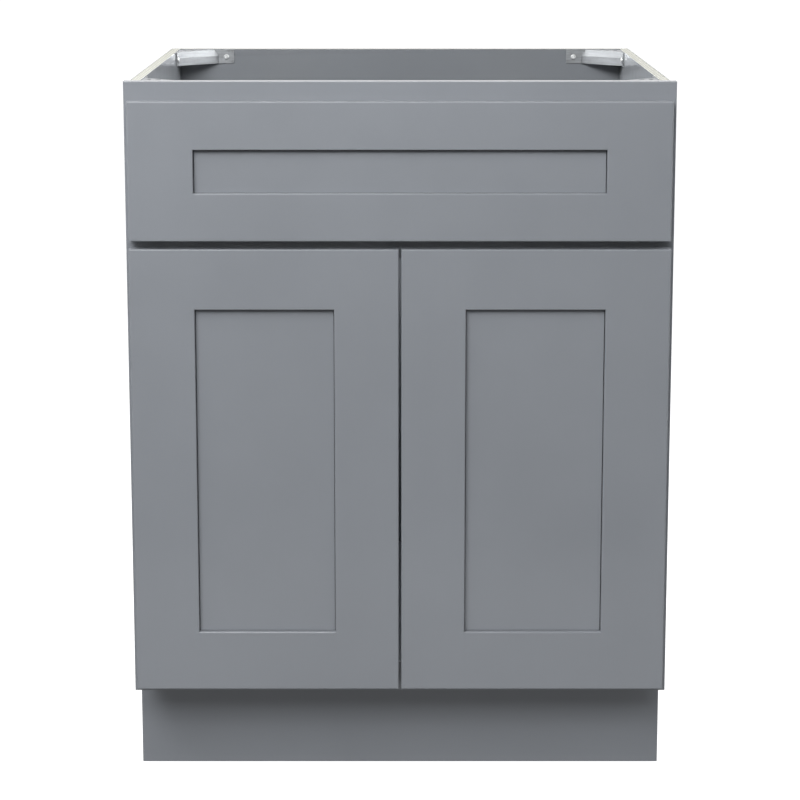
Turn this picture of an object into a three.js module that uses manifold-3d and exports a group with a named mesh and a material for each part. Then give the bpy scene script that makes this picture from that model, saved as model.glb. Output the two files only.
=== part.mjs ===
// Sink base cabinet: face-frame plywood carcass with an open top, a fixed false drawer front,
// two framed flat-panel doors on single-pivot cup hinges, a recessed toe kick and four
// sheet-metal corner braces. Millimetres, +Z up, front towards -Y, left is -X.
// Origin: centre of the footprint (doors included), on the floor.
import * as THREE from "three";
import { mergeVertices } from "three/addons/utils/BufferGeometryUtils.js";
import Module from "manifold-3d";

// ---------------------------------------------------------------- driving dimensions
const W = 660.4; // face frame width
const H = 876.3; // floor to top edges
const DEPTH = 609.6; // face frame front to back panel rear
const DOOR_T = 19; // door and false front thickness
const REVEAL_GAP = 3; // air gap between face frame and doors
const FIT = 0.2; // gap left between pieces that touch

const FRAME_T = 19; // face frame thickness
const STILE_W = 38.1; // face frame stiles
const RAIL_H = 38.1; // face frame rails
const SIDE_T = 12.7; // plywood sides, back and floor
const SIDE_INSET = 6.35; // face frame edge stands proud of the side panel

const TOE_H = 120; // underside of face frame
const TOE_RECESS = 76.5; // face frame front to toe kick front
const TOE_T = 12.7;

const DOOR_OUT = 325.2; // outer edge of doors, from the centre plane
const DOOR_IN = 1.5; // half of the gap between the doors
const DOOR_Z0 = 128.3;
const DOOR_Z1 = 677.6;
const DOOR_STILE = 78;
const DOOR_RAIL = 73.6;

const FALSE_OUT = 324.6; // false front half width
const FALSE_Z0 = 687.1;
const FALSE_Z1 = 854.0;
const FALSE_STILE = 78;
const FALSE_RAIL = 57.6;

const PANEL_SET = 8; // front of frame to front of recessed panel
const PANEL_T = 6;
const GROOVE = 10; // groove depth for the panel
const CREVICE_TOP = 1.3; // crevice round the panel's field
const CREVICE_SIDE = 0.7;
const CREVICE_LOW = 0.2;
const CREVICE_D = 3.6;
const EASE = 0.9; // radius of the face frame's sanded arrises
const DOOR_EASE = 1.4; // radius of the door and false front arrises
const MID_RAIL_Z = 663; // underside of the middle rail

const HINGE_Z = [205, 601]; // hinge heights
const CUP_EDGE = 3; // door edge to cup bore
const CUP_BORE_R = 17.5;
const CUP_DEPTH = 13.8;
const PIN_IN = 7.6; // hinge pin from the door's outer edge
const PIN_DEEP = 10.2; // hinge pin from the door's rear face

const LEG = 76; // corner brace, along each wall
const BRACE_H = 19.2;
const SHEET = 1.5;
const BRACE_TOP = H - 0.8;

// ---------------------------------------------------------------- derived
const FY = -(DEPTH + REVEAL_GAP + DOOR_T) / 2 + REVEAL_GAP + DOOR_T; // face frame front plane
const BY = FY + DEPTH; // rear plane
const SIDE_OUT = W / 2 - SIDE_INSET;
const SIDE_IN = SIDE_OUT - SIDE_T;
const BACK_Y = BY - SIDE_T; // front face of back panel
const FRAME_BACK = FY + FRAME_T;
const DOOR_FRONT = FY - REVEAL_GAP - DOOR_T;
const DOOR_REAR = FY - REVEAL_GAP;
const FLOOR_Z1 = TOE_H + RAIL_H; // cabinet floor, top face
const FLOOR_Z0 = FLOOR_Z1 - SIDE_T;
const DADO = 6;
const MID_Z1 = MID_RAIL_Z + RAIL_H;

// ---------------------------------------------------------------- materials
const paint = () => new THREE.MeshStandardMaterial({ color: 0x8b9097, roughness: 0.42, metalness: 0 });
const ply = () => new THREE.MeshStandardMaterial({ color: 0xd8cdb4, roughness: 0.8, metalness: 0 });
const zinc = () => new THREE.MeshStandardMaterial({ color: 0xb9bdc0, roughness: 0.35, metalness: 0.9 });
const nickel = () => new THREE.MeshStandardMaterial({ color: 0xc8c6c0, roughness: 0.25, metalness: 0.95 });
const rubber = () => new THREE.MeshStandardMaterial({ color: 0xd9dcd8, roughness: 0.5, metalness: 0 });

// ---------------------------------------------------------------- solids
const wasm = await Module();
wasm.setup();

function solid(geometry) {
  const g = geometry.index ? geometry.toNonIndexed() : geometry.clone();
  g.deleteAttribute("normal");
  g.deleteAttribute("uv");
  const m = mergeVertices(g, 1e-4);
  const tris = [];
  for (let i = 0; i < m.index.count; i += 3) {
    const [a, b, c] = [m.index.getX(i), m.index.getX(i + 1), m.index.getX(i + 2)];
    if (a !== b && b !== c && c !== a) tris.push(a, b, c);
  }
  return new wasm.Manifold(
    new wasm.Mesh({
      numProp: 3,
      vertProperties: new Float32Array(m.attributes.position.array),
      triVerts: new Uint32Array(tris),
    }),
  );
}

function surface(s) {
  const m = s.getMesh();
  const v = new Float32Array(m.numVert * 3);
  for (let i = 0; i < m.numVert; i++) v.set(m.vertProperties.subarray(i * m.numProp, i * m.numProp + 3), i * 3);
  const g = new THREE.BufferGeometry();
  g.setAttribute("position", new THREE.BufferAttribute(v, 3));
  g.setIndex(new THREE.BufferAttribute(new Uint32Array(m.triVerts), 1));
  return g;
}

const cut = (s, ...tools) => tools.reduce((a, b) => a.subtract(b), s);
const join = (s, ...more) => more.reduce((a, b) => a.add(b), s);

function block(x0, x1, y0, y1, z0, z1) {
  const g = new THREE.BoxGeometry(Math.abs(x1 - x0), Math.abs(y1 - y0), Math.abs(z1 - z0));
  g.translate((x0 + x1) / 2, (y0 + y1) / 2, (z0 + z1) / 2);
  return solid(g);
}

// Round bar from point a to point b.
function bar(a, b, r, n = 16, r2 = r) {
  const p = new THREE.Vector3(...a);
  const d = new THREE.Vector3(...b).sub(p);
  const g = new THREE.CylinderGeometry(r2, r, d.length(), n);
  g.translate(0, d.length() / 2, 0);
  g.applyQuaternion(new THREE.Quaternion().setFromUnitVectors(new THREE.Vector3(0, 1, 0), d.clone().normalize()));
  g.translate(p.x, p.y, p.z);
  return solid(g);
}

// A flat outline [[x, y], ...] extruded upwards from z0 to z1.
function plate(points, z0, z1) {
  const shape = new THREE.Shape(points.map((p) => new THREE.Vector2(...p)));
  const g = new THREE.ExtrudeGeometry(shape, { depth: z1 - z0, bevelEnabled: false });
  g.translate(0, 0, z0);
  return solid(g);
}

// An outline [[y, z], ...] extruded along X from x0 to x1.
function slab(points, x0, x1) {
  const shape = new THREE.Shape(points.map((p) => new THREE.Vector2(...p)));
  const g = new THREE.ExtrudeGeometry(shape, { depth: x1 - x0, bevelEnabled: false });
  g.applyMatrix4(new THREE.Matrix4().set(0, 0, 1, x0, 1, 0, 0, 0, 0, 1, 0, 0, 0, 0, 0, 1));
  return solid(g);
}

// A board in the XZ plane, its faces at y0 and y1, with rectangular openings and every arris eased to a small radius.
function easedBoard(x0, x1, z0, z1, y0, y1, openings, r) {
  const rect = (a, b, c, d) => [[a, c], [b, c], [b, d], [a, d]].map((p) => new THREE.Vector2(...p));
  const shape = new THREE.Shape(rect(x0, x1, z0, z1));
  for (const [a, b, c, d] of openings) shape.holes.push(new THREE.Path(rect(a, b, c, d).reverse()));
  const g = new THREE.ExtrudeGeometry(shape, {
    depth: y1 - y0 - 2 * r,
    bevelEnabled: true,
    bevelThickness: r,
    bevelSize: r,
    bevelOffset: -r,
    bevelSegments: 4,
  });
  g.applyMatrix4(new THREE.Matrix4().set(1, 0, 0, 0, 0, 0, -1, y1 - r, 0, 1, 0, 0, 0, 0, 0, 1));
  return solid(g);
}

const cabinet = new THREE.Group();
const carcass = new THREE.Group();
cabinet.add(carcass);

// Puts a solid into a group as a named mesh whose own origin is the middle of the piece.
function piece(group, name, s, material) {
  const g = surface(s);
  g.computeBoundingBox();
  const c = g.boundingBox.getCenter(new THREE.Vector3());
  g.translate(-c.x, -c.y, -c.z);
  const flat = g.toNonIndexed();
  flat.computeVertexNormals();
  const mesh = new THREE.Mesh(flat, material);
  mesh.name = name;
  mesh.position.copy(c).sub(group.position);
  group.add(mesh);
  return mesh;
}

// ---------------------------------------------------------------- wood screws
// Pan head with a cross recess; "at" is the middle of the seat under the head, "into" the direction of driving.
function screw(at, into, headR, headH, shankR, shankL) {
  const d = new THREE.Vector3(...into).normalize();
  const turn = new THREE.Quaternion().setFromUnitVectors(new THREE.Vector3(0, 1, 0), d);
  const place = (g) => solid(g.applyQuaternion(turn).translate(...at));
  const profile = [
    [0, -headH], [headR * 0.66, -headH], [headR, -headH * 0.5], [headR, 0],
    [shankR, 0], [shankR, shankL - 2.5], [0.4, shankL], [0, shankL],
  ].map((p) => new THREE.Vector2(...p));
  let s = place(new THREE.LatheGeometry(profile.reverse(), 16));
  if (s.volume() < 0) s = place(new THREE.LatheGeometry(profile.reverse(), 16));
  const depth = headH * 0.45;
  for (const [w, l] of [[headR * 0.24, headR], [headR, headR * 0.24]]) {
    const g = new THREE.BoxGeometry(w, depth * 2, l);
    g.translate(0, -headH, 0);
    s = s.subtract(place(g));
  }
  return s;
}
const pilot = (at, into, r, l) => {
  const a = new THREE.Vector3(...at);
  const d = new THREE.Vector3(...into).normalize();
  return bar(a.clone().addScaledVector(d, -1).toArray(), a.clone().addScaledVector(d, l).toArray(), r, 12);
};

// ---------------------------------------------------------------- corner braces
// Each sits in a top corner of the carcass. u runs along the front or back wall, v along the side panel.
const BRACES = [
  ["front_left", -1, FRAME_BACK, 1],
  ["front_right", 1, FRAME_BACK, 1],
  ["back_left", -1, BACK_Y, -1],
  ["back_right", 1, BACK_Y, -1],
];
const TAB = 21; // tab length along the wall
const SCREW_U = LEG - TAB / 2;
const SCREW_Z = BRACE_TOP - BRACE_H / 2 - 0.4;
const braceAt = (sx, wallY, dy) => (u, v) => [sx * (SIDE_IN - u), wallY + dy * v];

function brace(sx, wallY, dy) {
  const at = braceAt(sx, wallY, dy);
  const z1 = BRACE_TOP;
  const z0 = z1 - BRACE_H;
  const a = LEG - TAB - 7; // where the upper edge of the diagonal meets each wall
  const g = FIT;
  const poly = (pts, zl, zh, holes = []) => {
    const outline = (list) => list.map(([u, v]) => at(u, v));
    return cut(plate(outline(pts), zl, zh), ...holes.map((h) => plate(outline(h), zl - 1, zh + 1)));
  };
  // top plate, with two fixing slots for the worktop
  const slot = (cu, cv, along, half, r) => {
    const pts = [];
    for (let i = 0; i < 16; i++) {
      const t = (i / 16) * Math.PI * 2;
      const e = Math.sign(Math.cos(t) + 1e-9) * half;
      const l = Math.cos(t) * r + e;
      const c = Math.sin(t) * r;
      pts.push(along === "u" ? [cu + l, cv + c] : [cu + c, cv + l]);
    }
    return pts;
  };
  let s = poly(
    [[9, g], [a + 2, g], [g, a + 2], [g, 9]],
    z1 - SHEET,
    z1,
    [slot(27, 8, "u", 4, 2.6), slot(8, 27, "v", 4, 2.6), slot(20, 20, "u", 0.01, 4)],
  );
  // diagonal web: a sloping upper strip and an upright lower strip
  const inv = Math.SQRT1_2;
  const bend = 4.2; // how far the upright strip stands in front of the plate's edge
  const line = (off) => [[a + 2 + off / inv, g], [g, a + 2 + off / inv]];
  const ends = (o0, o1) => {
    const [p0, q0] = line(o0);
    const [p1, q1] = line(o1);
    return [p0, q0, q1, p1];
  };
  s = join(s, poly(ends(bend - SHEET, bend), z0, z1 - BRACE_H * 0.45));
  const steps = 3;
  for (let i = 0; i < steps; i++) {
    const f0 = i / steps;
    const f1 = (i + 1) / steps;
    const zt = z1 - BRACE_H * 0.45 * f0;
    const zb = z1 - BRACE_H * 0.45 * f1;
    s = join(s, sloped(at, line, -SHEET + (bend) * f0, -SHEET + bend * f1, zt, zb));
  }
  // tabs that lie on the walls
  s = join(s, poly([[a - 2, g], [LEG, g], [LEG, g + SHEET], [a - 2, g + SHEET]], z0, z1));
  s = join(s, poly([[g, a - 2], [g + SHEET, a - 2], [g + SHEET, LEG], [g, LEG]], z0, z1));
  const [wx, wy] = at(SCREW_U, g);
  const [vx, vy] = at(g, SCREW_U);
  s = cut(s, pilot([wx, wy, SCREW_Z], [0, -dy, 0], 1.9, 3), pilot([wx, wy + dy * 2.5, SCREW_Z], [0, -dy, 0], 1.9, 6));
  s = cut(s, pilot([vx - sx * 2.5, vy, SCREW_Z], [sx, 0, 0], 1.9, 6));
  const [hx, hy] = at(g, SCREW_U + 6.6);
  for (const dz of [4.6, -4.6]) s = cut(s, pilot([hx - sx * 2.5, hy, SCREW_Z + dz], [sx, 0, 0], 1.3, 6));
  return s;
}
// One prism of the sloping strip, as the hull of its eight corners.
function sloped(at, line, o0, o1, zt, zb) {
  const pts = [];
  for (const [o, z] of [[o0, zt], [o1, zb]])
    for (const w of [0, SHEET])
      for (const [u, v] of line(o + w)) pts.push([...at(u, v), z]);
  // order: outer pair and inner pair at the top, then at the bottom
  const g = new THREE.BufferGeometry();
  const P = pts;
  const quads = [
    [0, 1, 3, 2], [4, 6, 7, 5], [0, 4, 5, 1], [2, 3, 7, 6], [0, 2, 6, 4], [1, 5, 7, 3],
  ];
  const v = [];
  for (const [a, b, c, d] of quads) for (const i of [a, b, c, a, c, d]) v.push(...P[i]);
  g.setAttribute("position", new THREE.BufferAttribute(new Float32Array(v), 3));
  let s = solid(g);
  if (s.volume() < 0) {
    const r = [];
    for (let i = 0; i < v.length; i += 9) r.push(...v.slice(i, i + 3), ...v.slice(i + 6, i + 9), ...v.slice(i + 3, i + 6));
    g.setAttribute("position", new THREE.BufferAttribute(new Float32Array(r), 3));
    s = solid(g);
  }
  return s;
}

const braceScrews = []; // [name, seat, direction]
for (const [name, sx, wallY, dy] of BRACES) {
  const at = braceAt(sx, wallY, dy);
  const [wx, wy] = at(SCREW_U, FIT + SHEET + 0.05);
  const [vx, vy] = at(FIT + SHEET + 0.05, SCREW_U);
  braceScrews.push([`brace_screw_${name}_wall`, [wx, wy, SCREW_Z], [0, -dy, 0]]);
  braceScrews.push([`brace_screw_${name}_side`, [vx, vy, SCREW_Z], [sx, 0, 0]]);
  piece(carcass, `corner_brace_${name}`, brace(sx, wallY, dy), zinc());
}
for (const [name, at, into] of braceScrews) piece(carcass, name, screw(at, into, 3.75, 2.2, 1.6, 11), zinc());
const bracePilots = braceScrews.map(([, at, into]) => pilot(at, into, 1.9, 11.6));

// ---------------------------------------------------------------- side panels, back and floor
for (const [name, s] of [["left", -1], ["right", 1]]) {
  const outline = [
    [FRAME_BACK + FIT, TOE_H],
    [FY + TOE_RECESS + TOE_T + FIT, TOE_H],
    [FY + TOE_RECESS + TOE_T + FIT, 0],
    [BY, 0],
    [BY, H],
    [FRAME_BACK + FIT, H],
  ];
  const x = [s * SIDE_IN, s * SIDE_OUT].sort((a, b) => a - b);
  let p = slab(outline, x[0], x[1]);
  const inner = [s * (SIDE_IN - 1), s * (SIDE_IN + DADO)].sort((a, b) => a - b);
  p = cut(
    p,
    block(inner[0], inner[1], FRAME_BACK - 5, BY + 5, FLOOR_Z0 - 0.1, FLOOR_Z1 + 0.1), // floor dado
    block(inner[0], inner[1], BACK_Y - 0.1, BY + 5, -5, H + 5), // back rabbet
    ...bracePilots,
  );
  piece(carcass, `side_panel_${name}`, p, paint());
}
piece(
  carcass,
  "back_panel",
  cut(block(-(SIDE_IN + DADO - FIT), SIDE_IN + DADO - FIT, BACK_Y, BY, 0, H), ...bracePilots),
  paint(),
);
piece(
  carcass,
  "floor_panel",
  block(-(SIDE_IN + DADO - FIT), SIDE_IN + DADO - FIT, FRAME_BACK + FIT, BACK_Y - FIT, FLOOR_Z0, FLOOR_Z1),
  paint(),
);

// ---------------------------------------------------------------- toe kick
piece(
  carcass,
  "toe_kick_board",
  block(-W / 2, W / 2, FY + TOE_RECESS, FY + TOE_RECESS + TOE_T, 0, TOE_H - FIT),
  paint(),
);
piece(
  carcass,
  "toe_kick_cleat",
  block(-(SIDE_IN - FIT), SIDE_IN - FIT, FY + TOE_RECESS + TOE_T + FIT, FY + TOE_RECESS + TOE_T + 19, 60, FLOOR_Z0 - FIT),
  ply(),
);

// ---------------------------------------------------------------- face frame
// Rails carry a stub tenon at each end, housed in the stiles.
const TENON_L = 12;
const TENON_T = 7;
const RAILS = [
  ["top", H - RAIL_H, H],
  ["mid", MID_RAIL_Z, MID_Z1],
  ["bottom", TOE_H, TOE_H + RAIL_H],
];
const midY = FY + FRAME_T / 2;
const hingeP = (side, p, q) => [side * (W / 2 - p), FY + q]; // p inward from the frame's outer edge, q back from its front
const BASE_P0 = STILE_W + 0.3;
const BASE_P1 = BASE_P0 + 2.2;
const HINGE_SCREW_DZ = -14;
const hingeScrewAt = (side, hz) => [side * (W / 2 - BASE_P1 - 0.05), FY + 9.5, hz + HINGE_SCREW_DZ];

const frameX = W / 2 - STILE_W;
const easedFrame = easedBoard(
  -W / 2, W / 2, TOE_H, H, FY, FY + FRAME_T,
  [[-frameX, frameX, TOE_H + RAIL_H, MID_RAIL_Z], [-frameX, frameX, MID_Z1, H - RAIL_H]],
  EASE,
);
for (const [name, z0, z1] of RAILS) {
  const x = frameX - 0.02;
  const t = x + TENON_L - FIT;
  let r = join(
    block(-x, x, FY, FY + FRAME_T, z0, z1).intersect(easedFrame),
    block(-t, t, midY - TENON_T / 2, midY + TENON_T / 2, z0 + 8, z1 - 8),
  );
  if (name === "top") r = cut(r, ...bracePilots);
  piece(carcass, `frame_rail_${name}`, r, paint());
}
for (const [name, s] of [["left", -1], ["right", 1]]) {
  let st = block(s * (W / 2), s * frameX, FY, FY + FRAME_T, TOE_H, H).intersect(easedFrame);
  for (const [, z0, z1] of RAILS) {
    st = cut(
      st,
      block(s * (frameX - 1), s * (frameX + TENON_L), midY - TENON_T / 2 - 0.1, midY + TENON_T / 2 + 0.1, z0 + 7.9, z1 - 7.9),
    );
  }
  for (const hz of HINGE_Z) st = cut(st, pilot(hingeScrewAt(s, hz), [s, 0, 0], 1.9, 14.6));
  piece(carcass, `frame_stile_${name}`, st, paint());
}

// ---------------------------------------------------------------- framed flat-panel fronts
// x0, x1 are the outer edges. The frame's stiles run full height; the rails have tongues in the stiles' grooves.
function framedFront(group, prefix, names, x0, x1, z0, z1, stileW, railH, bores) {
  const yg0 = DOOR_FRONT + PANEL_SET; // panel front
  const yg1 = yg0 + PANEL_T;
  const c = 0.1;
  const groove = (xa, xb, za, zb) => block(xa, xb, yg0 - c, yg1 + c, za, zb);
  const xi0 = x0 + stileW;
  const xi1 = x1 - stileW;
  const eased = easedBoard(x0, x1, z0, z1, DOOR_FRONT, DOOR_REAR, [[xi0, xi1, z0 + railH, z1 - railH]], DOOR_EASE);
  let a = block(x0, xi0, DOOR_FRONT, DOOR_REAR, z0, z1).intersect(eased);
  a = cut(a, groove(xi0 - GROOVE, xi0 + 1, z0 - 1, z1 + 1), ...bores);
  let b = block(xi1, x1, DOOR_FRONT, DOOR_REAR, z0, z1).intersect(eased);
  b = cut(b, groove(xi1 - 1, xi1 + GROOVE, z0 - 1, z1 + 1), ...bores);
  piece(group, `${prefix}_stile_${names[0]}`, a, paint());
  piece(group, `${prefix}_stile_${names[1]}`, b, paint());
  for (const [n, za, zb, up] of [["bottom", z0, z0 + railH, 1], ["top", z1 - railH, z1, -1]]) {
    const g = 0.02;
    let r = block(xi0 + g, xi1 - g, DOOR_FRONT, DOOR_REAR, za, zb).intersect(eased);
    const tongue = block(xi0 - GROOVE + 0.4, xi1 + GROOVE - 0.4, yg0, yg1, za + (up < 0 ? GROOVE : 0), zb - (up > 0 ? GROOVE : 0));
    r = join(r, tongue);
    r = cut(
      r,
      up > 0 ? groove(xi0 - GROOVE - 1, xi1 + GROOVE + 1, zb - GROOVE, zb + 1) : groove(xi0 - GROOVE - 1, xi1 + GROOVE + 1, za - 1, za + GROOVE),
    );
    piece(group, `${prefix}_rail_${n}`, r, paint());
  }
  // The panel rests low in its grooves: its field stops short of the frame at the top and sides, and hardly at all below.
  const e = GROOVE - 1;
  const [p0, p1, q0, q1] = [xi0, xi1, z0 + railH, z1 - railH];
  const o = 0.5;
  const crevice = cut(
    block(p0 - o, p1 + o, yg0 - 1, yg0 + CREVICE_D, q0 - o, q1 + o),
    block(p0 + CREVICE_SIDE, p1 - CREVICE_SIDE, yg0 - 2, yg0 + CREVICE_D + 1, q0 + CREVICE_LOW, q1 - CREVICE_TOP),
  );
  piece(group, `${prefix}_panel`, cut(block(p0 - e, p1 + e, yg0, yg1, q0 - e, q1 + e), crevice), paint());
}

framedFront(carcass, "false_front", ["left", "right"], -FALSE_OUT, FALSE_OUT, FALSE_Z0, FALSE_Z1, FALSE_STILE, FALSE_RAIL, []);
// Stepped cleats that clamp the false front to the face frame's top and middle rails.
for (const [name, s] of [["left", -1], ["right", 1]]) {
  const x = s * 190;
  piece(
    carcass,
    `false_front_cleat_${name}`,
    join(
      block(x - 22, x + 22, DOOR_REAR + FIT, FRAME_BACK + FIT + 0.5, MID_Z1 + 0.5, H - RAIL_H - 0.5),
      block(x - 22, x + 22, FRAME_BACK + FIT, FRAME_BACK + 13, MID_RAIL_Z + 12, H - RAIL_H + 15),
    ),
    ply(),
  );
}

// ---------------------------------------------------------------- doors and hinges
// The pivot is the hinge pin, inside the cup.
const PIN_P = W / 2 - DOOR_OUT + PIN_IN;
const PIN_Q = -REVEAL_GAP - PIN_DEEP;
const CUP_P = W / 2 - DOOR_OUT + CUP_EDGE + CUP_BORE_R;
const CUP_WALL = 1;
const ARM_HALF = 4.6;

function armOutline() {
  const rad = Math.PI / 180;
  const P = new THREE.Vector2(PIN_P, PIN_Q);
  const E = P.clone().add(new THREE.Vector2(Math.cos(-5 * rad), Math.sin(-5 * rad)).multiplyScalar(13));
  const xEnd = BASE_P0 + 1.0;
  const C = new THREE.Vector2(xEnd, E.y - Math.tan(5 * rad) * (xEnd - E.x));
  const F = new THREE.Vector2(xEnd, -7);
  const path = [P, ...new THREE.QuadraticBezierCurve(E, C, F).getPoints(9), new THREE.Vector2(xEnd, 3)];
  const left = [];
  const right = [];
  path.forEach((p, i) => {
    const d = path[Math.min(i + 1, path.length - 1)].clone().sub(path[Math.max(i - 1, 0)]).normalize();
    const n = new THREE.Vector2(-d.y, d.x);
    left.push(p.clone().addScaledVector(n, 1));
    right.push(p.clone().addScaledVector(n, -1));
  });
  return [...left, ...right.reverse()];
}

for (const [name, side] of [["left", -1], ["right", 1]]) {
  const pivot = hingeP(side, PIN_P, PIN_Q);
  const door = new THREE.Group();
  door.position.set(pivot[0], pivot[1], 0);
  cabinet.add(door);

  const cupC = hingeP(side, CUP_P, -REVEAL_GAP);
  const bores = HINGE_Z.map((hz) => bar([cupC[0], DOOR_REAR - CUP_DEPTH, hz], [cupC[0], DOOR_REAR + 1, hz], CUP_BORE_R, 48));
  const x0 = side < 0 ? -DOOR_OUT : DOOR_IN;
  const x1 = side < 0 ? -DOOR_IN : DOOR_OUT;
  framedFront(door, `${name}_door`, side < 0 ? ["hinge", "meeting"] : ["meeting", "hinge"], x0, x1, DOOR_Z0, DOOR_Z1, DOOR_STILE, DOOR_RAIL, bores);

  HINGE_Z.forEach((hz, i) => {
    const tag = `${name}_${i ? "upper" : "lower"}`;
    const R = CUP_BORE_R - 0.2;
    const Ri = R - CUP_WALL;
    const yBottom = DOOR_REAR - CUP_DEPTH + 0.2;
    // cup with a rim plate and two ears
    let cup = bar([cupC[0], yBottom, hz], [cupC[0], DOOR_REAR + 1.05, hz], R, 48);
    cup = join(cup, bar([cupC[0], DOOR_REAR + 0.05, hz], [cupC[0], DOOR_REAR + 1.05, hz], 18.9, 48));
    const earX = side * (W / 2 - CUP_P - 8);
    cup = join(cup, block(earX - 6, earX + 6, DOOR_REAR + 0.05, DOOR_REAR + 1.05, hz - 24, hz + 24));
    for (const e of [-24, 24]) cup = join(cup, bar([earX, DOOR_REAR + 0.05, hz + e], [earX, DOOR_REAR + 1.05, hz + e], 6, 24));
    cup = cut(cup, bar([cupC[0], yBottom + 0.8, hz], [cupC[0], DOOR_REAR + 5, hz], Ri, 48));
    // relief in the near wall, where the arm comes to rest when the door is fully open
    cup = cut(
      cup,
      block(side * (W / 2 - CUP_P + Ri + 0.55), side * (W / 2 - CUP_P + Ri - 4), DOOR_REAR - 6, DOOR_REAR + 5, hz - 5.4, hz + 5.4),
    );
    // lugs that carry the pin
    const lug = (s) =>
      block(
        side * (W / 2 - CUP_P + 17), side * (W / 2 - PIN_P - 2.3),
        yBottom + 0.5, FY + PIN_Q + 2.6,
        hz + s * 5.2, hz + s * 10.5,
      ).intersect(bar([cupC[0], yBottom, hz], [cupC[0], DOOR_REAR + 1, hz], Ri + 0.3, 48));
    cup = join(cup, lug(1), lug(-1));
    cup = cut(cup, bar([pivot[0], pivot[1], hz - 9.3], [pivot[0], pivot[1], hz + 9.3], 1.15, 16));
    for (const e of [-22.5, 22.5]) cup = cut(cup, bar([earX, DOOR_REAR - 1, hz + e], [earX, DOOR_REAR + 2, hz + e], 2.2, 16));
    piece(door, `hinge_cup_${tag}`, cup, nickel());
    piece(door, `hinge_pin_${tag}`, bar([pivot[0], pivot[1], hz - 9], [pivot[0], pivot[1], hz + 9], 1, 16), nickel());

    // fixed arm, base plate and body on the stile's inner edge
    const outline = armOutline().map((p) => hingeP(side, p.x, p.y));
    let arm = plate(outline, hz - ARM_HALF, hz + ARM_HALF);
    arm = join(arm, bar([pivot[0], pivot[1], hz - ARM_HALF], [pivot[0], pivot[1], hz + ARM_HALF], 2.3, 24));
    arm = cut(arm, bar([pivot[0], pivot[1], hz - 12], [pivot[0], pivot[1], hz + 12], 1.3, 16));
    const bx = (p) => side * (W / 2 - p);
    arm = join(arm, block(bx(BASE_P0), bx(BASE_P1), FY + 1.5, FY + 17.5, hz - 22, hz + 16));
    for (const y of [FY + 5.5, FY + 13.5]) arm = join(arm, bar([bx(BASE_P0), y, hz - 22], [bx(BASE_P1), y, hz - 22], 4, 20));
    // body over the plate, chamfered towards the opening
    const body = [
      [BASE_P1 - 0.5, 2], [BASE_P1 + 3.6, 2], [BASE_P1 + 6.2, 5], [BASE_P1 + 6.2, 13.5], [BASE_P1 + 3.8, 17], [BASE_P1 - 0.5, 17],
    ].map(([p, q]) => hingeP(side, p, q));
    arm = join(arm, plate(body, hz - 6.5, hz + 13));
    const s0 = hingeScrewAt(side, hz);
    arm = cut(arm, bar([bx(BASE_P0 - 1), s0[1], s0[2]], [bx(BASE_P1 + 1), s0[1], s0[2]], 1.95, 16));
    piece(carcass, `hinge_arm_${tag}`, arm, nickel());
    piece(carcass, `hinge_screw_${tag}`, screw(s0, [side, 0, 0], 4, 2.2, 1.6, 14), zinc());
  });

  // soft bumpers that meet the middle and bottom rails
  for (const [n, z] of [["lower", DOOR_Z0 + 9], ["upper", DOOR_Z1 - 8]]) {
    const x = side * (DOOR_IN + 16);
    piece(
      door,
      `door_bumper_${name}_${n}`,
      join(
        bar([x, DOOR_REAR + 0.05, z], [x, DOOR_REAR + 1.7, z], 4.6, 24),
        bar([x, DOOR_REAR + 1.6, z], [x, DOOR_REAR + 2.6, z], 4.6, 24, 3.2),
      ),
      rubber(),
    );
  }
}

export default cabinet;
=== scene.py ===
# Sink base cabinet: satin grey painted face-frame cabinet with raw plywood edges and zinc corner braces.
# Metres, the same frame as the CAD: +Z up, doors towards -Y.
import math

import bmesh
import bpy
from mathutils import Matrix, Quaternion, Vector


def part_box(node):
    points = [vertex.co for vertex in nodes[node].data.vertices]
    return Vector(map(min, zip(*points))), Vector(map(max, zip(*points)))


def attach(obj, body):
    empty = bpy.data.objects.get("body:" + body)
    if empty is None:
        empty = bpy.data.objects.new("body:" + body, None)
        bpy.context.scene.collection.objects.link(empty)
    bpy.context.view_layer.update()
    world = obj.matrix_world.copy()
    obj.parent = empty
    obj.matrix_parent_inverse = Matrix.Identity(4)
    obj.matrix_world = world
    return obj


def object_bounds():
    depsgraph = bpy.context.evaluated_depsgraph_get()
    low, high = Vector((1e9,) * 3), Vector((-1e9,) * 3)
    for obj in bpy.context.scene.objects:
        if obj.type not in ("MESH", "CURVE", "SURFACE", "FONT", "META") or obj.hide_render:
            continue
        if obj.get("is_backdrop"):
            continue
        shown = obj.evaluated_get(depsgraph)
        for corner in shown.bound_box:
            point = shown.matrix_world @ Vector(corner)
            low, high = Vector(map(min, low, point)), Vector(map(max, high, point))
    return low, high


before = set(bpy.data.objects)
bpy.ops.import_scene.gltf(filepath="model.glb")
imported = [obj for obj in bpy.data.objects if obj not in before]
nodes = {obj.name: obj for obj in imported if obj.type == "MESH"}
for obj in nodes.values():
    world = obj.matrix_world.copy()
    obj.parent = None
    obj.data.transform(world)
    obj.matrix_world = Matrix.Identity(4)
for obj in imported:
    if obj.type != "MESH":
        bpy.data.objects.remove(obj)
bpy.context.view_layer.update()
scene = bpy.context.scene

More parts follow.
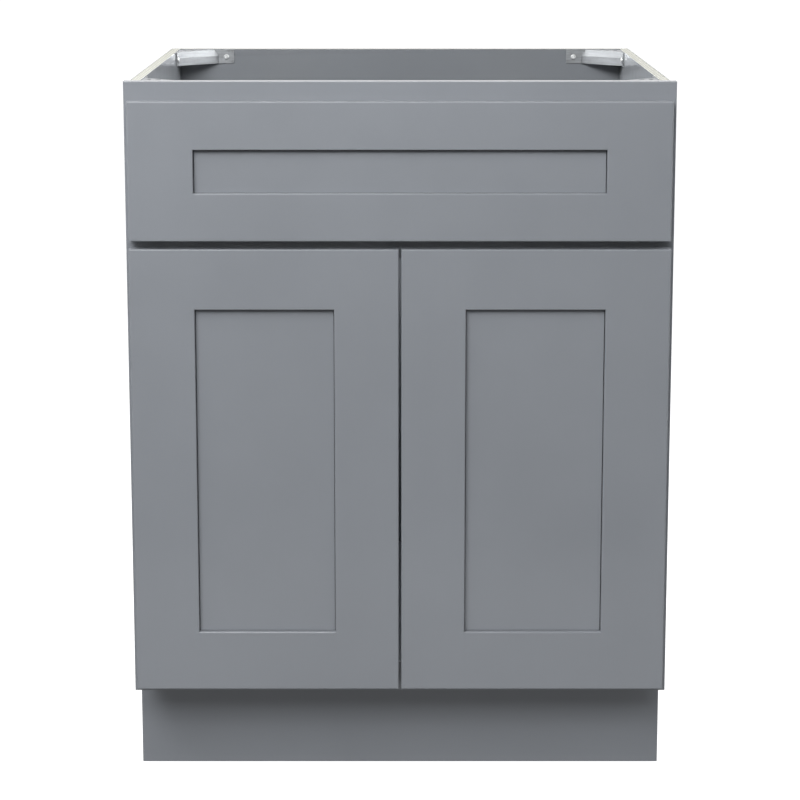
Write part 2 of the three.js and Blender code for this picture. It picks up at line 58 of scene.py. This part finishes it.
# ------------------------------------------------------------------ camera
CAM_Y, CAM_Z, PITCH, FOCAL_PX = -3.400, 1.114, math.radians(11.37), 2597.0
cam_data = bpy.data.cameras.new("photo_camera")
cam = bpy.data.objects.new("photo_camera", cam_data)
scene.collection.objects.link(cam)
cam_data.sensor_width = 36.0
cam_data.lens = FOCAL_PX / 800.0 * 36.0
cam_data.clip_start, cam_data.clip_end = 0.1, 200.0
cam.location = (0.0, CAM_Y, CAM_Z)
cam.rotation_euler = (math.radians(90) - PITCH, 0.0, 0.0)
scene.camera = cam


# ------------------------------------------------------------------ node helpers
class Tree:
    """A small helper that builds a material's node tree."""

    def __init__(self, name):
        self.mat = bpy.data.materials.new(name)
        self.mat.use_nodes = True
        self.t = self.mat.node_tree
        self.t.nodes.clear()
        self.out = self.t.nodes.new("ShaderNodeOutputMaterial")
        self.bsdf = self.t.nodes.new("ShaderNodeBsdfPrincipled")
        self.link(self.bsdf.outputs["BSDF"], self.out.inputs["Surface"])

    def link(self, a, b):
        self.t.links.new(a, b)

    def node(self, kind, **inputs):
        n = self.t.nodes.new("ShaderNode" + kind)
        for k, v in inputs.items():
            self.put(n, k, v)
        return n

    def put(self, n, key, v):
        s = n.inputs[key]
        if isinstance(v, bpy.types.NodeSocket):
            self.link(v, s)
        else:
            s.default_value = v

    def coord(self, scale=(1, 1, 1), offset=(0, 0, 0)):
        c = self.node("TexCoord")
        m = self.node("Mapping")
        m.inputs["Scale"].default_value = scale
        m.inputs["Location"].default_value = offset
        self.link(c.outputs["Object"], m.inputs["Vector"])
        return m.outputs["Vector"]

    def noise(self, vec, scale, detail=4.0, rough=0.55, dist=0.0):
        n = self.node("TexNoise")
        self.link(vec, n.inputs["Vector"])
        n.inputs["Scale"].default_value = scale
        n.inputs["Detail"].default_value = detail
        n.inputs["Roughness"].default_value = rough
        n.inputs["Distortion"].default_value = dist
        return n.outputs["Fac"]

    def ramp(self, fac, stops):
        r = self.node("ValToRGB")
        self.link(fac, r.inputs["Fac"])
        e = r.color_ramp.elements
        while len(e) < len(stops):
            e.new(0.5)
        for el, (p, c) in zip(e, stops):
            el.position = p
            el.color = (*c, 1.0) if len(c) == 3 else c
        return r.outputs["Color"]

    def range(self, v, a, b, c, d):
        m = self.node("MapRange")
        self.link(v, m.inputs["Value"])
        for i, x in zip(("From Min", "From Max", "To Min", "To Max"), (a, b, c, d)):
            m.inputs[i].default_value = x
        return m.outputs["Result"]

    def math(self, op, a, b=0.0):
        m = self.node("Math")
        m.operation = op
        for i, v in enumerate((a, b)):
            if isinstance(v, bpy.types.NodeSocket):
                self.link(v, m.inputs[i])
            else:
                m.inputs[i].default_value = v
        return m.outputs["Value"]

    def mix(self, fac, a, b, mode="MIX"):
        m = self.node("Mix")
        m.data_type = "RGBA"
        m.blend_type = mode
        for key, v in ((0, fac), (6, a), (7, b)):
            s = m.inputs[key]
            if isinstance(v, bpy.types.NodeSocket):
                self.link(v, s)
            else:
                s.default_value = (*v, 1.0) if isinstance(v, tuple) and len(v) == 3 else v
        return m.outputs[2]

    def bump(self, height, strength, distance):
        b = self.node("Bump")
        b.inputs["Strength"].default_value = strength
        b.inputs["Distance"].default_value = distance
        self.link(height, b.inputs["Height"])
        return b.outputs["Normal"]


def srgb(r, g, b):
    f = lambda c: (c / 255 / 12.92) if c <= 10 else ((c / 255 + 0.055) / 1.055) ** 2.4
    return (f(r), f(g), f(b))


# ------------------------------------------------------------------ materials
def paint(name, base=(131, 135, 141), along="z"):
    """Satin sprayed lacquer: even colour, very fine orange peel, a trace of the grain direction below it."""
    t = Tree(name)
    vec = t.coord()
    c0 = srgb(*base)
    lighter = tuple(min(1.0, c * 1.035) for c in c0)
    darker = tuple(c * 0.965 for c in c0)
    cloud = t.noise(vec, 5.0, 3.0, 0.5)
    col = t.ramp(cloud, [(0.3, darker), (0.7, lighter)])
    stretch = {"z": (60, 60, 2.2), "x": (2.2, 60, 60), "y": (60, 2.2, 60)}[along]
    grain = t.noise(t.coord(stretch), 6.0, 5.0, 0.6, 0.4)
    col = t.mix(t.range(grain, 0.35, 0.75, 0.0, 0.05), col, tuple(c * 0.9 for c in c0))
    t.put(t.bsdf, "Base Color", col)
    rough = t.range(t.noise(vec, 40.0, 3.0, 0.6), 0.3, 0.7, 0.36, 0.46)
    t.put(t.bsdf, "Roughness", rough)
    t.bsdf.inputs["Specular IOR Level"].default_value = 0.5
    t.bsdf.inputs["IOR"].default_value = 1.48
    t.bsdf.inputs["Coat Weight"].default_value = 0.9
    t.bsdf.inputs["Coat Roughness"].default_value = 0.19
    peel = t.noise(vec, 900.0, 2.0, 0.5)
    wave = t.noise(vec, 55.0, 2.0, 0.5)
    h = t.math("ADD", t.math("MULTIPLY", peel, 0.35), t.math("ADD", t.math("MULTIPLY", wave, 0.8), t.math("MULTIPLY", grain, 0.35)))
    t.link(t.bump(h, 0.12, 0.0006), t.bsdf.inputs["Normal"])
    return t.mat


def raw_ply(name, along="y"):
    """Unfinished pale plywood: long fibres and faint plies."""
    t = Tree(name)
    stretch = {"y": (90, 3, 90), "x": (3, 90, 90), "z": (90, 90, 3)}[along]
    grain = t.noise(t.coord(stretch), 7.0, 6.0, 0.62, 0.6)
    col = t.ramp(grain, [(0.25, srgb(196, 182, 152)), (0.5, srgb(222, 212, 188)), (0.75, srgb(233, 226, 207))])
    fleck = t.noise(t.coord(tuple(s * 4 for s in stretch)), 9.0, 3.0, 0.7)
    col = t.mix(t.range(fleck, 0.62, 0.75, 0.0, 0.5), col, srgb(170, 150, 118))
    t.put(t.bsdf, "Base Color", col)
    t.put(t.bsdf, "Roughness", t.range(grain, 0.2, 0.8, 0.9, 0.72))
    t.link(t.bump(grain, 0.35, 0.0008), t.bsdf.inputs["Normal"])
    return t.mat


def ply_edge(name, axis, inner, outer, along):
    """Sawn edge of painted plywood: alternating plies with thin glue lines, and a paint film at each face."""
    t = Tree(name)
    c = t.node("TexCoord")
    sep = t.node("SeparateXYZ")
    t.link(c.outputs["Object"], sep.inputs["Vector"])
    wav = t.noise(t.coord((40, 6, 40) if along == "y" else (6, 40, 40)), 4.0, 2.0)
    pos = t.math("ABSOLUTE", sep.outputs[axis])
    pos = t.math("ADD", pos, t.range(wav, 0.0, 1.0, -0.00025, 0.00025))
    v = t.range(pos, inner, outer, 0.0, 1.0)
    film, glue = srgb(146, 149, 149), srgb(158, 158, 150)
    pale, warm = srgb(204, 204, 197), srgb(184, 184, 175)
    stops, n = [(0.0, film), (0.03, pale)], 7
    for i in range(1, n):
        stops += [(i / n - 0.02, glue), (i / n + 0.02, warm if i % 2 else pale)]
    stops.append((0.9, film))
    r = t.node("ValToRGB")
    r.color_ramp.interpolation = "CONSTANT"
    t.link(v, r.inputs["Fac"])
    e = r.color_ramp.elements
    while len(e) < len(stops):
        e.new(0.5)
    for el, (p, col) in zip(e, stops):
        el.position = p
        el.color = (*col, 1.0)
    fibre = t.noise(t.coord((220, 9, 220) if along == "y" else (9, 220, 220)), 5.0, 5.0, 0.65)
    pores = t.noise(t.coord((900, 260, 900) if along == "y" else (260, 900, 900)), 1.0, 2.0, 0.5)
    col = t.mix(t.range(fibre, 0.5, 0.8, 0.0, 0.35), r.outputs["Color"], srgb(178, 178, 166))
    col = t.mix(t.range(pores, 0.62, 0.72, 0.0, 0.3), col, srgb(152, 150, 138))
    t.put(t.bsdf, "Base Color", col)
    t.put(t.bsdf, "Roughness", t.range(fibre, 0.2, 0.8, 0.92, 0.74))
    t.bsdf.inputs["Specular IOR Level"].default_value = 0.3
    t.link(t.bump(t.math("ADD", fibre, pores), 0.3, 0.0006), t.bsdf.inputs["Normal"])
    return t.mat


def ply_face(name, along="z"):
    """Uncoated back veneer: broad cathedral figure, fine pores and a few darker streaks."""
    t = Tree(name)
    stretch = {"z": (1.0, 1.0, 0.12), "x": (0.12, 1.0, 1.0)}[along]
    vec = t.coord(stretch)
    warp = t.noise(vec, 3.2, 3.0, 0.5)
    w = t.node("TexWave")
    w.wave_type = "BANDS"
    w.bands_direction = "X"
    mv = t.node("VectorMath")
    mv.operation = "ADD"
    sc = t.node("VectorMath")
    sc.operation = "SCALE"
    cmb = t.node("CombineXYZ")
    t.link(warp, cmb.inputs["X"])
    t.link(cmb.outputs["Vector"], sc.inputs[0])
    sc.inputs["Scale"].default_value = 0.55
    t.link(vec, mv.inputs[0])
    t.link(sc.outputs["Vector"], mv.inputs[1])
    t.link(mv.outputs["Vector"], w.inputs["Vector"])
    w.inputs["Scale"].default_value = 11.0
    w.inputs["Distortion"].default_value = 3.0
    w.inputs["Detail"].default_value = 3.0
    fine = t.noise(t.coord(tuple(x * k for x, k in zip((1, 1, 1), (300, 300, 10) if along == "z" else (10, 300, 300)))), 2.0, 4.0, 0.6)
    col = t.ramp(w.outputs["Fac"], [(0.0, srgb(208, 190, 157)), (0.4, srgb(220, 204, 173)), (1.0, srgb(227, 213, 185))])
    col = t.mix(t.range(fine, 0.45, 0.75, 0.0, 0.5), col, srgb(186, 163, 126))
    flecks = t.noise(t.coord((500, 500, 30) if along == "z" else (30, 500, 500)), 1.6, 2.0, 0.5)
    col = t.mix(t.range(flecks, 0.66, 0.74, 0.0, 0.4), col, srgb(158, 132, 96))
    blot = t.noise(t.coord(), 2.5, 3.0)
    col = t.mix(t.range(blot, 0.4, 0.75, 0.0, 0.12), col, srgb(200, 176, 138))
    t.put(t.bsdf, "Base Color", col)
    t.put(t.bsdf, "Roughness", t.range(fine, 0.2, 0.8, 0.82, 0.66))
    t.link(t.bump(fine, 0.25, 0.0005), t.bsdf.inputs["Normal"])
    return t.mat


def zinc(name, base=(202, 205, 208), rough=(0.24, 0.42), streak=0.0, metal=0.92):
    """Bright zinc plate: cloudy spangle, and rolling lines along the strip when streak is above zero."""
    t = Tree(name)
    vec = t.coord()
    v = t.node("TexVoronoi")
    t.link(vec, v.inputs["Vector"])
    v.inputs["Scale"].default_value = 160.0
    spangle = t.math("ADD", v.outputs["Distance"], t.noise(vec, 300.0, 3.0, 0.6))
    c = srgb(*base)
    col = t.ramp(spangle, [(0.35, tuple(x * 0.9 for x in c)), (0.9, tuple(min(1, x * 1.04) for x in c))])
    lines = t.noise(t.coord((8, 8, 420)), 3.0, 4.0, 0.7)
    if streak:
        col = t.mix(t.range(lines, 0.35, 0.65, streak, 0.0), col, tuple(x * 0.45 for x in c))
    t.put(t.bsdf, "Base Color", col)
    t.bsdf.inputs["Metallic"].default_value = metal
    t.put(t.bsdf, "Roughness", t.range(spangle, 0.3, 1.0, rough[0], rough[1]))
    t.link(t.bump(t.math("ADD", lines, spangle), 0.08, 0.0004), t.bsdf.inputs["Normal"])
    return t.mat


def rubber(name):
    """Milky soft bumper."""
    t = Tree(name)
    vec = t.coord()
    n = t.noise(vec, 200.0, 3.0, 0.5)
    t.put(t.bsdf, "Base Color", t.ramp(n, [(0.3, srgb(214, 218, 217)), (0.7, srgb(228, 230, 229))]))
    t.put(t.bsdf, "Roughness", t.range(n, 0.3, 0.7, 0.4, 0.55))
    t.bsdf.inputs["Subsurface Weight"].default_value = 0.3
    t.bsdf.inputs["Subsurface Radius"].default_value = (0.004, 0.004, 0.004)
    t.link(t.bump(n, 0.1, 0.0002), t.bsdf.inputs["Normal"])
    return t.mat


PAINT_Z = paint("paint_upright", along="z")
PAINT_X = paint("paint_across", along="x")
PAINT_Y = paint("paint_sides", along="z")
PAINT_P = paint("paint_panel", along="z")
# A darker copy of the grey for the back panel's inner face: painted shade.
PAINT_BACK_IN_SHADED = paint("inside_back_paint_painted_shade", (116, 120, 125), "z")
# A lighter copy of the inside grey for the inner faces of the sides: painted light.
PAINT_SIDE_IN_LIT = paint("inside_sides_paint_painted_light", (150, 154, 159), "z")
# Near-black grey for the grooves round the recessed panels: painted shade in the crevices.
CREVICE_PAINTED_SHADE = paint("painted_shade_in_crevice", (38, 39, 41), "z")
PLY_SIDE = ply_edge("plywood_edge_sides", "X", 0.31115, 0.32385, "y")
PLY_BACK = ply_edge("plywood_edge_back", "Y", 0.3031, 0.3158, "x")
PLY_REAR = ply_face("plywood_rear_face", "z")
PLY_Z = raw_ply("plywood_cleat", "z")
ZINC = zinc("zinc_sheet", (172, 175, 178), (0.3, 0.4), 0.5, 0.88)
SCREW = zinc("zinc_screw", (222, 224, 224), (0.34, 0.48), 0.0, 0.75)
NICKEL = zinc("nickel_plate", (218, 217, 213), (0.28, 0.4), 0.0, 0.82)
BUMPER = rubber("bumper_soft")


def bevel(o, width, segments=3, angle=35):
    w = o.modifiers.new("joined_triangles", "WELD")
    w.merge_threshold = 0.000001
    m = o.modifiers.new("soft_edges", "BEVEL")
    m.width = width
    m.segments = segments
    m.limit_method = "ANGLE"
    m.angle_limit = math.radians(angle)
    m.harden_normals = True
    m.miter_outer = "MITER_ARC"
    w = o.modifiers.new("joined_slivers", "WELD")
    w.merge_threshold = 0.000003


def set_mats(o, *mats):
    o.data.materials.clear()
    for m in mats:
        o.data.materials.append(m)


def paint_faces(o, index, test):
    """Gives the faces that pass the test the object's material of that index."""
    for p in o.data.polygons:
        if test(p.normal, p.center):
            p.material_index = index


ACROSS = ("frame_rail", "toe_kick_board", "floor_panel")
EASED = ("stile", "rail")  # their arrises are rounded in the solid
for name, o in nodes.items():
    if name.startswith("side_panel"):
        set_mats(o, PAINT_Y, PLY_SIDE, PAINT_SIDE_IN_LIT)
        paint_faces(o, 1, lambda n, c: abs(n.x) < 0.3 and (n.z > 0.9 or n.y > 0.9 or n.z < -0.9 and c.z < 0.05))
        # The inner faces of the sides take the lighter inside grey: painted light.
        paint_faces(o, 2, lambda n, c: n.x * c.x < 0 and abs(n.x) > 0.9)
        bevel(o, 0.0004, 2)
    elif name == "back_panel":
        # The back's inner face takes the darker inside grey: painted shade.
        set_mats(o, PAINT_BACK_IN_SHADED, PLY_BACK, PLY_REAR)
        paint_faces(o, 1, lambda n, c: abs(n.z) > 0.9)
        paint_faces(o, 2, lambda n, c: n.y > 0.9)
        bevel(o, 0.0004, 2)
    elif name.startswith("corner_brace"):
        set_mats(o, ZINC)
        bevel(o, 0.0003, 1)
    elif name.startswith(("brace_screw", "hinge_screw")):
        set_mats(o, SCREW)
    elif name.startswith(("hinge_arm", "hinge_cup", "hinge_pin")):
        set_mats(o, NICKEL)
        if not name.startswith("hinge_pin"):
            bevel(o, 0.0003, 2, 40)
    elif name.startswith("door_bumper"):
        set_mats(o, BUMPER)
    elif "cleat" in name:
        set_mats(o, PLY_Z)
        bevel(o, 0.0008, 2)
    elif name.endswith("_panel") and ("door" in name or "false_front" in name):
        set_mats(o, PAINT_Z, CREVICE_PAINTED_SHADE)
        # The groove faces round the panel take the near-black grey: painted shade in the crevice.
        paint_faces(o, 1, lambda n, c: n.y < -0.9 and c.y > -0.3060 or abs(n.y) < 0.3 and c.y < -0.3025)
        bevel(o, 0.0002, 2)
    else:
        set_mats(o, PAINT_X if any(k in name for k in ACROSS) else PAINT_Z)
        if not any(k in name for k in EASED):
            bevel(o, 0.0008, 3)


# ------------------------------------------------------------------ cup screws
def mesh_from(bm, name):
    me = bpy.data.meshes.new(name)
    bm.normal_update()
    bm.to_mesh(me)
    bm.free()
    return me


def pan_head(name, at, radius, height):
    """Low pan head facing +Y with a cross recess cut into it; "at" is the middle of its seat."""
    bm = bmesh.new()
    profile = [(radius * 0.96, -0.00012), (radius, height * 0.12), (radius * 0.985, height * 0.45), (radius * 0.9, height * 0.78), (radius * 0.7, height * 0.95), (radius * 0.4, height)]
    rings, n = [], 28
    for r, h in profile:
        rings.append([bm.verts.new((r * math.cos(2 * math.pi * i / n), h, -r * math.sin(2 * math.pi * i / n))) for i in range(n)])
    for lower, upper in zip(rings, rings[1:]):
        for i in range(n):
            bm.faces.new((lower[i], lower[(i + 1) % n], upper[(i + 1) % n], upper[i]))
    bm.faces.new(list(reversed(rings[0])))
    bm.faces.new(rings[-1])
    bmesh.ops.recalc_face_normals(bm, faces=bm.faces)
    head = bpy.data.objects.new(name, mesh_from(bm, name))
    scene.collection.objects.link(head)
    cutters = []
    for w, l in ((0.13, 0.6), (0.6, 0.13)):
        bm = bmesh.new()
        bmesh.ops.create_cube(bm, size=2.0)
        bmesh.ops.scale(bm, vec=(radius * w, height * 0.5, radius * l), verts=bm.verts)
        bmesh.ops.translate(bm, vec=(0, height * 1.05, 0), verts=bm.verts)
        c = bpy.data.objects.new(name + "_cut", mesh_from(bm, name + "_cut"))
        scene.collection.objects.link(c)
        m = head.modifiers.new("recess", "BOOLEAN")
        m.operation, m.solver, m.object = "DIFFERENCE", "EXACT", c
        cutters.append(c)
    done = bpy.data.meshes.new_from_object(head.evaluated_get(bpy.context.evaluated_depsgraph_get()))
    head.modifiers.clear()
    head.data = done
    for c in cutters:
        bpy.data.objects.remove(c, do_unlink=True)
    done.transform(Matrix.Translation(at))
    done.name = name
    for p in done.polygons:
        p.use_smooth = len(p.vertices) == 4 and abs(p.normal.y) < 0.97
    done.materials.clear()
    done.materials.append(NICKEL)
    return head


EAR_HOLE_X, EAR_HOLE_Z = 0.2967, 0.0225  # the holes in the cups' ears, from the middle of the cabinet and of the cup
for cup in [n for n in nodes if n.startswith("hinge_cup")]:
    lo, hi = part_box(cup)
    side = math.copysign(1.0, lo.x + hi.x)
    for place, dz in (("low", -EAR_HOLE_Z), ("high", EAR_HOLE_Z)):
        head = pan_head(f"{cup.replace('hinge_cup', 'cup_screw')}_{place}", Vector((side * EAR_HOLE_X, hi.y, (lo.z + hi.z) / 2 + dz)), 0.0031, 0.0011)
        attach(head, "left_door" if side < 0 else "right_door")

# ------------------------------------------------------------------ floor and light
floor_mesh = bpy.data.meshes.new("studio_floor")
bm = bmesh.new()
bmesh.ops.create_grid(bm, x_segments=1, y_segments=1, size=30.0)
bm.to_mesh(floor_mesh)
bm.free()
floor = bpy.data.objects.new("studio_floor", floor_mesh)
scene.collection.objects.link(floor)
floor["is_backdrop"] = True
t = Tree("studio_floor")
n = t.noise(t.coord(), 3.0, 2.0)
t.put(t.bsdf, "Base Color", t.ramp(n, [(0.3, (0.30, 0.30, 0.30)), (0.7, (0.31, 0.31, 0.31))]))
t.bsdf.inputs["Roughness"].default_value = 0.9
t.bsdf.inputs["Specular IOR Level"].default_value = 0.0
t.bsdf.inputs["Emission Color"].default_value = (1.0, 1.0, 1.0, 1.0)
t.bsdf.inputs["Emission Strength"].default_value = 0.98
floor_mesh.materials.append(t.mat)
floor.visible_diffuse = False
floor.visible_glossy = False
floor.visible_shadow = False

# A white dome closes the picture behind the floor; only the camera sees it.
dome_mesh = bpy.data.meshes.new("studio_dome")
bm = bmesh.new()
bmesh.ops.create_uvsphere(bm, u_segments=48, v_segments=24, radius=45.0)
bmesh.ops.reverse_faces(bm, faces=bm.faces)
bm.to_mesh(dome_mesh)
bm.free()
dome = bpy.data.objects.new("studio_dome", dome_mesh)
scene.collection.objects.link(dome)
dome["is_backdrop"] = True
t = Tree("studio_dome")
t.put(t.bsdf, "Base Color", t.ramp(t.noise(t.coord(), 0.05, 1.0), [(0.3, (0.0, 0.0, 0.0)), (0.7, (0.01, 0.01, 0.01))]))
t.bsdf.inputs["Specular IOR Level"].default_value = 0.0
t.bsdf.inputs["Emission Color"].default_value = (1.0, 1.0, 1.0, 1.0)
t.bsdf.inputs["Emission Strength"].default_value = 1.2
dome_mesh.materials.append(t.mat)
dome.visible_diffuse = dome.visible_glossy = dome.visible_shadow = False

# The light around the object: the floor's bounce below, a dim room in front at eye level, a white backdrop behind, a ceiling above.
WORLD = {"low": 0.235, "front": 0.04, "back": 1.0, "mid": 0.18, "zenith": 0.12}
world = bpy.data.worlds.new("studio")
scene.world = world
world.use_nodes = True
wt = world.node_tree
bg = wt.nodes["Background"]
wc = wt.nodes.new("ShaderNodeTexCoord")
ws = wt.nodes.new("ShaderNodeSeparateXYZ")
wm = wt.nodes.new("ShaderNodeMapRange")
wt.links.new(wc.outputs["Generated"], ws.inputs["Vector"])
wt.links.new(ws.outputs["Z"], wm.inputs["Value"])
wm.inputs["From Min"].default_value = -1.0
wy = wt.nodes.new("ShaderNodeMapRange")
wt.links.new(ws.outputs["Y"], wy.inputs["Value"])
wy.inputs["From Min"].default_value = 0.0
wy.inputs["From Max"].default_value = 0.35
wx = wt.nodes.new("ShaderNodeMix")
wx.data_type = "RGBA"
wt.links.new(wy.outputs["Result"], wx.inputs[0])
for i, band in ((6, "front"), (7, "back")):
    wr = wt.nodes.new("ShaderNodeValToRGB")
    wt.links.new(wm.outputs["Result"], wr.inputs["Fac"])
    wt.links.new(wr.outputs["Color"], wx.inputs[i])
    el = wr.color_ramp.elements
    while len(el) < 6:
        el.new(0.5)
    above = WORLD["mid"] if band == "front" else WORLD[band]
    for e, (q, v) in zip(el, ((0.40, WORLD["low"]), (0.47, WORLD[band]), (0.62, WORLD[band]), (0.68, above), (0.8, above), (0.88, WORLD["zenith"]))):
        e.position = q
        e.color = (v, v, v, 1.0)
wt.links.new(wx.outputs[2], bg.inputs["Color"])
bg.inputs["Strength"].default_value = 1.0


def area(name, loc, target, size, power, color=(1, 1, 1)):
    d = bpy.data.lights.new(name, "AREA")
    d.shape = "RECTANGLE"
    d.size, d.size_y = size
    d.energy = power
    d.color = color
    o = bpy.data.objects.new(name, d)
    scene.collection.objects.link(o)
    o.location = loc
    o.rotation_euler = (Vector(target) - Vector(loc)).to_track_quat("-Z", "Y").to_euler()
    return o


LIGHTS = {
    "front_far": ((-0.8, -5.6, 3.55), (-0.1, -0.2, 0.45), (6.0, 1.6), 186),
    "front_near": ((-0.6, -0.95, 1.7), (-0.2, -0.3, 0.8), (1.5, 0.4), 9),
    "front_left": ((-0.7, -2.2, 2.1), (-0.1, -0.3, 0.5), (1.6, 0.8), 27),
    "front_right": ((1.9, -2.7, 1.9), (-0.2, -0.4, 0.5), (1.0, 0.8), 3),
    "floor_glow": ((0.0, -0.75, 0.025), (0.0, -0.23, 0.06), (1.3, 0.3), 0.3),
    "above": ((0.0, 0.45, 2.6), (0.0, -0.3, 0.85), (1.6, 0.5), 3),
    "fill_left": ((-2.0, 0.6, 1.5), (0.0, 0.1, 0.8), (1.0, 0.9), 40),
    "fill_right": ((2.0, 0.6, 1.5), (0.0, 0.1, 0.8), (1.0, 0.9), 48),
}
for key, (loc, target, size, power) in LIGHTS.items():
    area(key, loc, target, size, power, (1, 1, 1))

scene.view_settings.view_transform = "Standard"
scene.view_settings.look = "None"
scene.view_settings.exposure = 0.0

lo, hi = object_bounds()
